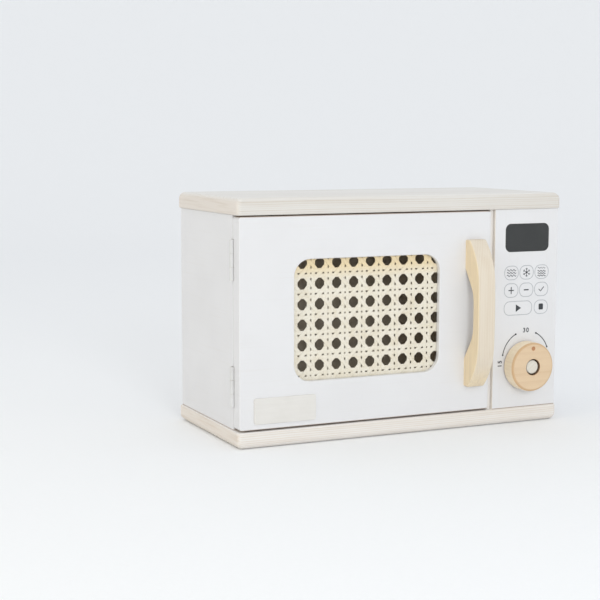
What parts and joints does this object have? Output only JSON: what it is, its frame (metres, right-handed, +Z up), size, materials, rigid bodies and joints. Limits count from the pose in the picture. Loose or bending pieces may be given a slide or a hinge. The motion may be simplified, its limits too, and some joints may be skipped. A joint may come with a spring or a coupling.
{
  "type": "toy microwave",
  "caption": "Wooden toy microwave with a hinged cane window door, bowed handle, turning dial and turntable.",
  "frame": {"origin": "middle of the bottom board's underside, on the surface that the toy stands on", "axes": "+X to the right seen from the front, -Y out of the door, +Z up"},
  "size_m": [0.289, 0.1459, 0.19],
  "materials": {
    "pine": "sanded, clear matt",
    "white_paint": "satin white paint",
    "raw_board": "unpainted back",
    "cane": "natural cane",
    "handle_wood": "sanded, clear matt",
    "dial_wood": "sanded, clear matt",
    "pale_wood": "sanded",
    "display": "satin",
    "plaque": "matt",
    "hinge_paint": "satin white paint",
    "steel": "zinc plated",
    "felt": "wool felt"
  },
  "bodies": {
    "case": {"bottom_board": "pine", "top_board": "pine", "left_side_panel": "white_paint", "right_side_panel": "white_paint", "divider_panel": "raw_board", "divider_slip": "pale_wood", "back_panel": "white_paint", "control_fascia": "white_paint", "display_screen": "display", "carcass_dowels": "pale_wood", "back_panel_screws": "steel", "upper_hinge_case_leaf": "hinge_paint", "lower_hinge_case_leaf": "hinge_paint", "upper_hinge_pin": "steel", "lower_hinge_pin": "steel", "case_leaf_screws": "steel", "catch_magnets": "steel", "turntable_spindle": "pale_wood", "turntable_washer": "felt"},
    "door": {"door_panel": "white_paint", "cane_webbing": "cane", "cane_retaining_frame": "pale_wood", "retaining_frame_pins": "steel", "door_handle": "handle_wood", "handle_screws": "steel", "door_plaque": "plaque", "upper_hinge_door_leaf": "hinge_paint", "lower_hinge_door_leaf": "hinge_paint", "door_leaf_screws": "steel", "door_magnets": "steel"},
    "dial": {"dial_knob": "dial_wood", "dial_axle": "pale_wood", "dial_felt_ring": "felt", "dial_washer": "steel", "dial_cross_pin": "steel"},
    "turntable": {"turntable_plate": "pale_wood"}
  },
  "joints": [
    {"name": "door_hinge", "type": "hinge", "parent": "case", "child": "door", "pos_m": [-0.1432, -0.04958, 0.095], "axis": [0, 0, -1], "range_deg": [0, 180]},
    {"name": "dial_turn", "type": "hinge", "parent": "case", "child": "dial", "pos_m": [0.11195, -0.06875, 0.0481], "axis": [0, 1, 0], "continuous": true},
    {"name": "turntable_spin", "type": "hinge", "parent": "case", "child": "turntable", "pos_m": [-0.03045, 0.00392, 0.019], "axis": [0, 0, 1], "continuous": true}
  ]
}
